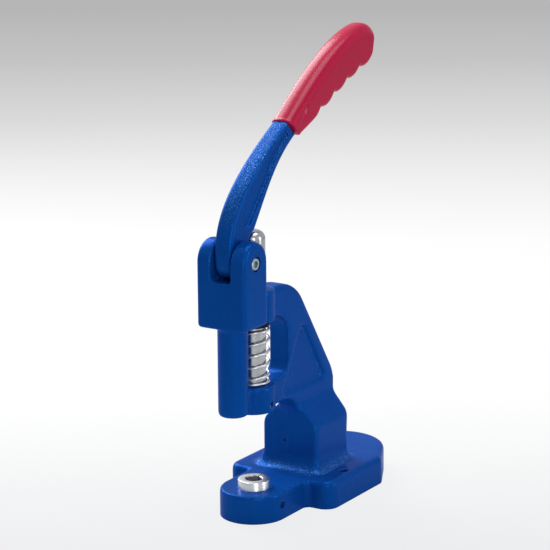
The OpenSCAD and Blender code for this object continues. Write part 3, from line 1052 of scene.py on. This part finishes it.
    def parting_line(self, casting: bpy.types.Object) -> None:
        """Raises the faint ridge that the two halves of the mould leave down the front and the back.

        Args:
            casting: The rough casting.
        """
        for vertex in casting.data.vertices:
            x, y, z = vertex.co / MM
            front = abs(y - self.column_front) < 1.2 and 38 < z < 84
            back = y > self.arm_rear - 6 and 40 < z < 160
            if abs(x) < 0.75 * self.voxel and (front or back):
                vertex.co.y += (-0.3 if front else 0.3) * MM

    def build(self, shop: Shop, finishes: Finishes) -> None:
        """Casts, machines and paints the stand.

        Args:
            shop: The bookkeeping.
            finishes: The finishes.
        """
        casting = joined("casting", [*self.bench_plate(), self.column(), self.arm(), *self.head()])
        cast(casting, self.voxel, 2)
        r = self.land_corner_r
        rear = [(side * (self.land_r - r), self.land_rear - r, r) for side in (-1, 1)]
        land = hull([(0, 0, self.land_r), *rear], 96)
        combine(casting, plate("land", land, 10, 0, self.base_t - self.land_d + 5, Plane.TOP))
        cast(casting, self.voxel, 3)
        self.parting_line(casting)
        combine(casting, block("below", (-80, -80, -40), (80, 220, 0)))
        for tool in self.machining():
            combine(casting, tool)
        shop.deliver(casting, "frame", Body.STAND, finishes.stand, 40)


@dataclass
class Lever:
    """The cast lever: boss, heel, curved shank with a pocket in each side, and the tongue in the grip."""

    pivot: Point2 = (-28.0, 213.3)
    thickness: float = 16.0
    edge: float = 3.8
    boss_r: float = 13.5
    bore_r: float = 6.95
    bush_bore_r: float = 4.55
    heel: Point2 = (21.5, 20.9)
    reach: float = 76.0
    rise: float = 93.0
    tip_w: float = 16.7
    tip_cut: float = 136.0
    front_pull: Pull = ((94.3, 33.4), (30.4, 79.6))
    rear_pull: Pull = ((54.4, 35.5), (30.3, 34.7))
    pocket_d: float = 2.5
    pocket: tuple[Corner, ...] = (
        (9.5, 20.7, 6), (0.5, 34.2, 8), (15.5, 54.5, 30), (46, 79, 60), (66, 93, 1.5), (70.5, 88.8, 1.5),
        (51, 71.5, 60), (33, 48, 60))
    tongue_l: float = 60.0
    tongue_half: Point2 = (4.5, 5.5)
    tongue_angle: float = 30.7
    voxel: float = 0.62

    @property
    def tip(self) -> Point2:
        """The end of the bare lever."""
        return plus(self.pivot, (self.reach, self.rise))

    def outline(self) -> list[Point2]:
        """The lever's outline from the side.

        Returns:
            Points of the outline.
        """
        cut = along(self.tip_cut, self.tip_w / 2)
        boss_front, boss_rear = (plus(self.pivot, (side * self.boss_r, 0)) for side in (-1, 1))
        heel = plus(self.pivot, self.heel)
        front = bezier(handles(boss_front, plus(self.tip, cut), *self.front_pull), 40)
        rear = bezier(handles(heel, minus(self.tip, cut), *self.rear_pull), 40)
        heel_back = round_corner(heel, plus(self.pivot, (self.boss_r, 15.5)), boss_rear, 4)
        return front + rear[::-1] + heel_back + arc(self.pivot, self.boss_r, 0, -172.5, 30)

    def tongue(self, clearance: float) -> bpy.types.Object:
        """The flat tongue that the grip is moulded on.

        Args:
            clearance: How much larger than the tongue, for cutting its socket.

        Returns:
            The tongue.
        """
        x, z = (half + clearance for half in self.tongue_half)
        bar = block("tongue", (-x, -6, -z), (x, self.tongue_l + clearance, z))
        bar.rotation_euler = (math.radians(self.tongue_angle), 0, 0)
        bar.location = Vector((0, *self.tip)) * MM
        return settle(bar)

    def build(self, shop: Shop, finishes: Finishes) -> None:
        """Casts, bores and paints the lever.

        Args:
            shop: The bookkeeping.
            finishes: The finishes.
        """
        blank = plate("lever", self.outline(), self.thickness, self.edge)
        pocket = rounded([(self.pivot[0] + u, self.pivot[1] + v, r) for u, v, r in self.pocket])
        for side in (-1, 1):
            combine(blank, plate("pocket", pocket, 2 * self.pocket_d, 0.4, side * self.thickness / 2))
        lever = joined("lever", [blank, self.tongue(0)])
        cast(lever, self.voxel, 3)
        at, half = (0, *self.pivot), self.thickness / 2
        combine(lever, rod("bore", self.bore_r, -20, 20, at, True))
        shop.deliver(lever, "lever", Body.LEVER, finishes.lever, 40)
        bush = turned("bush", ring_section(self.bush_bore_r, self.bore_r, -half, half, 0.4), at, True)
        shop.deliver(bush, "lever_bush", Body.LEVER, finishes.bronze)


@dataclass
class Grip:
    """The moulded grip: flat crest and sides, finger grooves underneath and a lip round its mouth."""

    lever: Lever
    reach: float = 125.0
    rise: float = 56.3
    end_w: float = 32.0
    thickness: float = 21.5
    rim: float = 1.1
    crest_pull: Pull = ((37.0, 47.8), (-5.0, 46.0))
    under_pull: Pull = ((22.0, 41.0), (12.2, 37.9))
    end_cut: float = 78.0
    groove_d: float = 3.8
    groove_n: int = 4
    first_groove: float = 0.29
    last_groove: float = 0.80
    end_r: float = 16.0
    end_l: tuple[float, float] = (18.5, 15.5)
    side_end_r: float = 6.0
    crest_r: float = 6.0
    under_r: float = 2.6
    crown: float = 2.6
    dimple: tuple[float, float, float] = (14.0, 11.6, 62.0)
    dimple_size: tuple[float, float, float] = (4.2, 2.3, 1.5)
    lip: tuple[Point2, ...] = (
        (0.0, -0.8), (0.002, -0.25), (0.006, 0.0), (0.012, 0.0), (0.018, -0.2), (0.024, -0.25))
    lip_end: float = 0.030

    def groove(self, t: float) -> float:
        """Share of its full depth that a finger groove has: hollow lines between broad rounds.

        Args:
            t: Place along the grip, from 0 to 1.

        Returns:
            The share, from 0 to 1.
        """
        u = (t - self.first_groove) / (self.last_groove - self.first_groove) * (self.groove_n - 1)
        return 0.0 if u < -0.5 or u > self.groove_n - 0.5 else (2 * (u - math.floor(u)) - 1) ** 2

    def dent(self, point: Point2) -> float:
        """Depth of the thumb's dimple at a point of the side.

        Args:
            point: The point, from the lever's tip.

        Returns:
            The depth.
        """
        y, z, angle = self.dimple
        long, wide, deep = self.dimple_size
        step = Vector((point[0] - y, point[1] - z))
        axis = Vector(along(angle, 1))
        near, across = step.dot(axis), step.x * axis.y - step.y * axis.x
        return deep * math.exp(-(near / long) ** 2 - (across / wide) ** 2)

    def section(self, half: float, low: float, top: float) -> list[Point2]:
        """A cross-section's outline, with a crowned top and round edges.

        Args:
            half: Half of its thickness.
            low: Its lower end.
            top: Its upper end.

        Returns:
            Points as (x, height), the same number for every section.
        """
        limit = 0.48 * min(top - low, 2 * half)
        crown = min(self.crown, 0.1 * (top - low))
        edge, under = min(self.crest_r, limit), min(self.under_r, limit)
        top_edge = top - crown
        corners = [(-half, low, under), (half, low, under), (half, top_edge, edge), (-half, top_edge, edge)]
        arcs = rounded(corners, 7)
        points: list[Point2] = []
        for i in range(4):
            side = arcs[8 * i:8 * i + 8]
            a, b = side[-1], arcs[(8 * i + 8) % 32]
            points += side + [(a[0] + (b[0] - a[0]) * k / 8, a[1] + (b[1] - a[1]) * k / 8)
                              for k in range(1, 8)]
        return [(x, h + crown * (1 - (x / half) ** 2) if h > top_edge - edge else h) for x, h in points]

    def ring(self, t: float, grow: float = 0.0) -> list[Vector]:
        """One cross-section in its place.

        Args:
            t: Place along the grip, from 0 to 1.
            grow: How far the section stands out, for the lip.

        Returns:
            Points round the section.
        """
        tip = self.lever.tip
        end = plus(tip, (self.reach, self.rise))
        rim_cut = along(self.lever.tip_cut, self.lever.tip_w / 2 + self.rim)
        end_cut = along(self.end_cut, self.end_w / 2)
        crest, under = (Vector(bezier_point(handles(side(tip, rim_cut), side(end, end_cut), *pull), t))
                        for side, pull in ((plus, self.crest_pull), (minus, self.under_pull)))
        up, middle, reach = (crest - under).normalized(), (crest + under) / 2, (crest - under).length / 2
        left = (1 - t) * math.hypot(self.reach, self.rise)
        round_top, round_low = (0.985 * reach * quarter_round(1.0, left / length) for length in self.end_l)
        low = -reach + self.groove(t) * self.groove_d + round_low - grow
        top = reach - round_top + grow
        half = self.thickness / 2 - 0.8 * quarter_round(self.side_end_r, left) + grow
        points = []
        for x, h in self.section(half, low, top):
            y, z = middle + up * h
            press = self.dent((y - tip[0], z - tip[1])) if x > half - 0.5 else 0.0
            points.append(Vector((x - press, y, z)))
        return points

    def build(self, shop: Shop, finishes: Finishes) -> None:
        """Moulds the grip over the tongue.

        Args:
            shop: The bookkeeping.
            finishes: The finishes.
        """
        length = math.hypot(self.reach, self.rise)
        rings = [self.ring(t, grow) for t, grow in self.lip]
        start, stop, count = self.lip_end, 1 - self.end_r / length, 150
        rings += [self.ring(start + (stop - start) * i / count, self.lip[-1][1] * max(0.0, 1 - i / 25))
                  for i in range(count)]
        rings += [self.ring(1 - self.end_r * (1 - math.sin(math.radians(90 * i / 24))) / length)
                  for i in range(25)]
        grip = skin("grip", rings)
        combine(grip, self.lever.tongue(0.05))
        shop.deliver(grip, "lever_grip", Body.LEVER, finishes.grip, 50)


@dataclass
class Pivot:
    """The shoulder screw through the fork with its nut and the two washers beside the boss."""

    at: tuple[float, float, float] = (0.0, -28.0, 213.3)
    fork_half: float = 22.6
    head_seat: float = 16.8
    head_r: float = 5.25
    head_l: float = 5.4
    shoulder_r: float = 4.5
    thread_r: float = 4.0
    slot_half: float = 9.0
    nut_af: float = 13.0
    nut_t: float = 4.0
    washer_r: float = 9.0
    washer_t: float = 0.9
    washer_x: float = 8.05
    pitch: float = 1.25
    socket_r: float = 2.9

    def screw(self) -> bpy.types.Object:
        """The shoulder screw with its socket head and its thread.

        Returns:
            The screw.
        """
        top, end, pitch = self.head_seat + self.head_l, -self.fork_half - self.nut_t - 1.5, self.pitch
        head, shoulder, crest, half = self.head_r, self.shoulder_r, self.thread_r, self.slot_half
        thread: list[Point2] = []
        x = -half - pitch
        while x > end + 1.5:
            thread += [(crest, x + pitch * 0.9), (crest, x + pitch * 0.6), (crest - 0.55, x + pitch * 0.3)]
            x -= pitch
        profile = [(0, top), (head - 0.9, top), (head, top - 0.9), (head, self.head_seat),
                   (shoulder, self.head_seat), (shoulder, -half + 0.4), (shoulder - 0.4, -half), *thread,
                   (crest - 0.6, end + 0.6), (crest - 1.2, end), (0, end)]
        screw = turned("screw", profile, self.at, True, 64)
        return combine(screw, rod("socket", self.socket_r, top - 3, top + 2, self.at, True, 6))

    def nut(self) -> bpy.types.Object:
        """The hexagon nut with its chamfered corners.

        Returns:
            The nut.
        """
        corner, flat, bore = self.nut_af / math.sqrt(3), self.nut_af / 2, self.thread_r + 0.05
        low, high, round_r = -self.fork_half - self.nut_t, -self.fork_half, corner + 0.4
        lens = [(0, low), (flat, low), (round_r, low + 1.0), (round_r, high - 1.0), (flat, high), (0, high)]
        drill = [(0, low - 1), (bore + 1.6, low - 1), (bore, low + 0.6), (bore, high - 0.6),
                 (bore + 1.6, high + 1), (0, high + 1)]
        nut = rod("nut", corner, low, high, self.at, True, 6)
        combine(nut, turned("lens", lens, self.at, True, 64), Cut.KEEP_COMMON)
        return combine(nut, turned("drill", drill, self.at, True, 48))

    def washer(self, side: int) -> bpy.types.Object:
        """The washer on one side of the boss.

        Args:
            side: 1 for the right one and -1 for the left one.

        Returns:
            The washer.
        """
        low, high = sorted((side * self.washer_x, side * (self.washer_x + self.washer_t)))
        section = ring_section(self.shoulder_r + 0.1, self.washer_r, low, high, 0.15)
        return turned("washer", section, self.at, True, 64)

    def build(self, shop: Shop, finishes: Finishes) -> None:
        """Makes the pivot's pieces.

        Args:
            shop: The bookkeeping.
            finishes: The finishes.
        """
        shop.deliver(self.screw(), "pivot_screw", Body.STAND, finishes.plated, 30)
        shop.deliver(self.nut(), "pivot_nut", Body.STAND, finishes.plated, 30)
        for side, name in ((1, "right"), (-1, "left")):
            shop.deliver(self.washer(side), f"thrust_washer_{name}", Body.STAND,
                         finishes.plated, 30)


@dataclass
class Ram:
    """The ram with its collar washer, retaining ring and the set screw for the upper die."""

    radius: float = 10.6
    bottom: float = 88.6
    top: float = 232.8
    dome_r: float = 7.0
    socket_r: float = 4.0
    socket_l: float = 20.0
    collar_top: float = 158.75
    collar_t: float = 2.5
    collar_r: float = 13.8
    ring_t: float = 1.1
    groove_d: float = 0.6
    screw_z: float = 94.3
    screw_r: float = 1.95
    screw_hole_r: float = 2.0

    def body(self) -> bpy.types.Object:
        """The ram itself, from the die's socket up to the dome.

        Returns:
            The ram.
        """
        r, low, hole, dome = self.radius, self.bottom, self.socket_r, self.dome_r
        groove, ring_low, ring_high = r - self.groove_d, self.collar_top, self.collar_top + self.ring_t
        depth = low + self.socket_l
        profile = [(0, depth + 1.8), (hole, depth), (hole, low + 0.5), (hole + 0.5, low), (r - 0.6, low),
                   (r, low + 0.6), (r, ring_low), (groove, ring_low), (groove, ring_high), (r, ring_high),
                   *arc((r - dome, self.top - dome), dome, 0, 90, 14), (0, self.top)]
        drill = rod("die_screw_thread", self.screw_hole_r, 0, 20, (0, 0, self.screw_z), True, 48)
        return combine(turned("ram", profile, steps=128), drill)

    def collar(self) -> bpy.types.Object:
        """The washer that the spring pushes against."""
        low, high = self.collar_top - self.collar_t, self.collar_top
        return turned("collar", ring_section(self.radius + 0.05, self.collar_r, low, high, 0.35), steps=128)

    def ring(self) -> bpy.types.Object:
        """The open retaining ring.

        Returns:
            The ring.
        """
        low, high = self.collar_top, self.collar_top + self.ring_t
        section = ring_section(self.radius - self.groove_d + 0.02, self.radius + 2, low, high, 0.2)
        return combine(turned("ring", section), block("gap", (-2.5, 0, low - 1), (2.5, 20, high + 1)))

    def die_screw(self) -> bpy.types.Object:
        """The set screw in the ram's end, whose outer end stays inside the ram's round."""
        ends = (self.socket_r + 0.15, math.sqrt(self.radius**2 - self.screw_hole_r**2) - 0.2)
        return set_screw("die_screw", self.screw_r, ends, (0.3, 0.2), self.screw_z, (1.16, 1.4))

    def build(self, shop: Shop, finishes: Finishes) -> None:
        """Makes the pieces that move with the ram.

        Args:
            shop: The bookkeeping.
            finishes: The finishes.
        """
        shop.deliver(self.body(), "ram", Body.RAM, finishes.ram, 30)
        for make, node in ((self.collar, "ram_collar"), (self.ring, "collar_ring"),
                           (self.die_screw, "upper_die_screw")):
            shop.deliver(make(), node, Body.RAM, finishes.dark, 30)


@dataclass
class ReturnSpring:
    """The compression spring round the ram, with closed end turns."""

    low: float = 109.0
    high: float = 156.25
    wire: float = 2.2
    outer: float = 27.6
    turns: float = 6.05
    start: float = 252.0
    closed: float = 0.9
    end_gap: float = 0.5
    bed: float = 0.05
    travel: float = 28.2
    steps: int = 28
    sides: int = 14

    def height(self, turn: float) -> float:
        """Height of the wire's middle.

        Args:
            turn: Turns from the lower end.

        Returns:
            The height.
        """
        first, last = self.low + self.wire / 2 + self.bed, self.high - self.wire / 2 - self.bed
        rise = (self.wire + self.end_gap) * self.closed
        rate = (last - first - 2 * rise) / (self.turns - 2 * self.closed)
        if turn < self.closed:
            return first + turn / self.closed * rise
        if turn > self.turns - self.closed:
            return last - (self.turns - turn) / self.closed * rise
        return first + rise + (turn - self.closed) * rate

    def build(self, shop: Shop, finishes: Finishes) -> None:
        """Winds the spring.

        Args:
            shop: The bookkeeping.
            finishes: The finishes.
        """
        coil, r = (self.outer - self.wire) / 2, self.wire / 2
        count = math.ceil(self.turns * self.steps)
        rings = []
        for i in range(count + 1):
            turn = self.turns * i / count
            # The wire's cut ends are dulled, so the first and the last ring are smaller.
            thin = 0.75 if i in (0, count) else 1.0
            a = math.radians(360 * turn + self.start)
            ring = []
            for k in range(self.sides):
                b = 2 * math.pi * k / self.sides
                reach = coil + thin * r * math.cos(b)
                height = self.height(turn) + thin * r * math.sin(b)
                ring.append(Vector((reach * math.cos(a), reach * math.sin(a), height)))
            rings.append(ring)
        spring = skin("spring", rings)
        shop.deliver(spring, "return_spring", Body.STAND, finishes.wire, 60)
        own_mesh(spring)


@dataclass
class DieHolder:
    """The split bush for the lower die and the set screw that closes it."""

    outer: float = 12.85
    bore: float = 6.7
    low: float = 5.0
    high: float = 29.5
    slit: float = 1.0
    clamp_z: float = 12.0
    clamp_x: float = 13.15
    clamp_l: float = 10.0
    clamp_r: float = 3.0
    edge: float = 0.6

    def bush(self) -> bpy.types.Object:
        """The split bush.

        Returns:
            The bush.
        """
        r, b, e, low, top = self.outer, self.bore, self.edge, self.low, self.high
        section = [(b, low), (r, low), (r, top - e), (r - e * 0.4, top - e * 0.25), (r - e, top),
                   (b + 0.5, top), (b, top - 0.5), (b, low)]
        bush = turned("bush", section, steps=128)
        return combine(bush, block("slit", (-self.slit / 2, 0, low - 1), (self.slit / 2, 20, top + 1)))

    def clamp_screw(self) -> bpy.types.Object:
        """The set screw in the lobe's side."""
        ends = (self.clamp_x, self.clamp_x + self.clamp_l)
        return set_screw("clamp", self.clamp_r, ends, (0.8, 0.4), self.clamp_z, (1.74, 3))

    def build(self, shop: Shop, finishes: Finishes) -> None:
        """Makes the die holder.

        Args:
            shop: The bookkeeping.
            finishes: The finishes.
        """
        shop.deliver(self.bush(), "die_holder_ring", Body.STAND, finishes.holder, 30)
        shop.deliver(self.clamp_screw(), "die_clamp_screw", Body.STAND, finishes.dark, 30)


# ---------------------------------------------------------------- the studio


@dataclass
class Studio:
    """The camera at the photograph's view, the pale floor and the soft lamps."""

    azimuth: float = 32.9
    elevation: float = 13.468
    roll: float = -0.348
    distance: float = 1640.92
    focal_px: float = 2100.0
    frame_px: float = 550.0
    aim: Point2 = (17.906, 196.5)
    look_at: tuple[float, float, float] = (0.0, 0.04, 0.18)
    floor_r: float = 9.0
    floor_tint: str = "d8d8d8"
    glow: float = 1.06
    glow_share: float = 0.9
    mirrored_glow: float = 0.3
    # The stops of the floor's painted falloff of light, from near the camera to far away.
    ramp_span: Point2 = (-0.3, 4.7)
    ramp: tuple[tuple[float, str], ...] = (
        (0.045, "eaebec"), (0.066, "eeeff0"), (0.087, "f3f4f4"), (0.122, "fbfbfb"), (0.20, "ffffff"),
        (0.262, "fbfbfb"), (0.343, "efefef"), (0.451, "dcdcdc"), (0.606, "c6c6c6"), (0.793, "b8b8b8"))
    room: tuple[str, float] = ("ccd0d6", 0.24)
    backdrop: tuple[str, float] = ("e6e9ee", 0.7)
    lamps: tuple[tuple[str, Corner, Point2, float], ...] = (
        ("overhead", (0.2, 0.15, 1.6), (0.9, 0.9), 9), ("left_rim", (-1.15, 0.4, 1.05), (1.0, 1.3), 26),
        ("right_front", (1.0, -0.84, 0.42), (0.22, 0.8), 3.2),
        ("right_rear", (1.24, 0.45, 0.42), (0.22, 0.8), 2.8))

    def camera(self) -> None:
        """Places the camera."""
        a, e, roll = (math.radians(d) for d in (self.azimuth, self.elevation, self.roll))
        back = Vector((math.sin(a) * math.cos(e), -math.cos(a) * math.cos(e), math.sin(e)))
        right = Vector((math.cos(a), math.sin(a), 0))
        up = back.cross(right)
        cos, sin = math.cos(roll), math.sin(roll)
        right, up = right * cos + up * sin, up * cos - right * sin
        target = Vector((self.aim[0] * math.cos(a), self.aim[0] * math.sin(a), self.aim[1]))
        data = bpy.data.cameras.new("camera")
        data.sensor_width = 36
        data.lens = self.focal_px / self.frame_px * data.sensor_width
        data.clip_end = 50
        camera = bpy.data.objects.new("camera", data)
        camera.matrix_world = Matrix.Translation((target + back * self.distance) * MM) @ Matrix(
            (right, up, back)).transposed().to_4x4()
        bpy.context.scene.collection.objects.link(camera)
        bpy.context.scene.camera = camera

    def lamp(self, name: str, place: Corner, size: Point2, power: float) -> None:
        """A soft lamp that looks at the press.

        Args:
            name: Name of the lamp.
            place: Where it hangs, in metres.
            size: Its width and height in metres.
            power: Its power in watts.
        """
        data = bpy.data.lights.new(name, "AREA")
        data.shape = "RECTANGLE"
        data.size, data.size_y = size
        data.energy = power
        lamp = bpy.data.objects.new(name, data)
        lamp.location = place
        lamp.rotation_euler = (Vector(self.look_at) - Vector(place)).to_track_quat("-Z", "Y").to_euler()
        bpy.context.scene.collection.objects.link(lamp)

    def floor(self) -> None:
        """The pale floor. It darkens away from the camera, as the photograph's backdrop does."""
        bpy.ops.mesh.primitive_circle_add(vertices=96, radius=self.floor_r, fill_type="NGON")
        floor = bpy.context.object
        floor.name = "floor"
        material = bpy.data.materials.new("paper_sweep_painted_falloff")
        tree = empty_tree(material)
        place = add_node(tree, "TexCoord").outputs["Object"]
        facing = math.radians(self.azimuth)
        away = add_node(tree, "VectorMath", {1: (-math.sin(facing), math.cos(facing), 0)}, {0: place},
                        operation="DOT_PRODUCT").outputs["Value"]
        near, far = self.ramp_span
        share = add_node(tree, "MapRange", {"From Min": near, "From Max": far}, {"Value": away})
        # Painted light: for the camera the floor glows with this ramp, lightest about 0.7 m behind the
        # press, a little darker at the press and darker again far away. Reflections see the glow at a third
        # of the camera's share.
        painted_falloff = add_node(tree, "ValToRGB", links={0: share})
        stops = painted_falloff.color_ramp.elements
        while len(stops) < len(self.ramp):
            stops.new(0.5)
        for stop, (at, code) in zip(stops, self.ramp):
            stop.position, stop.color = at, colour(code)
        path = add_node(tree, "LightPath").outputs
        seen = add_node(tree, "Math", {1: self.mirrored_glow}, {0: path["Is Glossy Ray"]},
                        operation="MULTIPLY")
        for ray in ("Is Camera Ray", "Is Transmission Ray"):
            direct = add_node(tree, "Math", {1: self.glow_share}, {0: path[ray]}, operation="MULTIPLY")
            seen = add_node(tree, "Math", links={0: seen, 1: direct}, operation="MAXIMUM")
        matt = add_node(tree, "BsdfDiffuse", {"Color": colour(self.floor_tint)})
        glow = add_node(tree, "Emission", {"Strength": self.glow}, {"Color": painted_falloff})
        mixed = add_node(tree, "MixShader", links={0: seen, 1: matt, 2: glow})
        add_node(tree, "OutputMaterial", links={"Surface": mixed})
        floor.data.materials.append(material)

    def world(self) -> None:
        """The even light of the room, and the pale backdrop that metal mirrors."""
        world = bpy.data.worlds.new("studio")
        bpy.context.scene.world = world
        tree = empty_tree(world)
        path = add_node(tree, "LightPath").outputs
        mirrored = add_node(tree, "Math", links={0: path["Is Glossy Ray"], 1: path["Is Transmission Ray"]},
                            operation="MAXIMUM")
        room, back = (add_node(tree, "Background", {"Color": colour(code), "Strength": strength})
                      for code, strength in (self.room, self.backdrop))
        mixed = add_node(tree, "MixShader", links={0: mirrored, 1: room, 2: back})
        add_node(tree, "OutputWorld", links={"Surface": mixed})

    def build(self) -> None:
        """Sets up camera, floor, room and lamps."""
        bpy.context.scene.view_settings.view_transform = "Standard"
        self.camera()
        self.floor()
        self.world()
        for lamp in self.lamps:
            self.lamp(*lamp)


def main() -> None:
    """Loads the frame, builds every sub-assembly in order and reports each piece."""
    logging.basicConfig(level=logging.INFO, format="%(name)s: %(message)s")
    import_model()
    finishes = Finishes.build()
    shop = Shop()
    lever = Lever()
    for assembly in (Stand(), lever, Grip(lever), Pivot(), Ram(), ReturnSpring(), DieHolder()):
        assembly.build(shop, finishes)
    Studio().build()
    LOG.info("%d pieces made", len(shop.made))


if __name__ == "__main__":
    main()
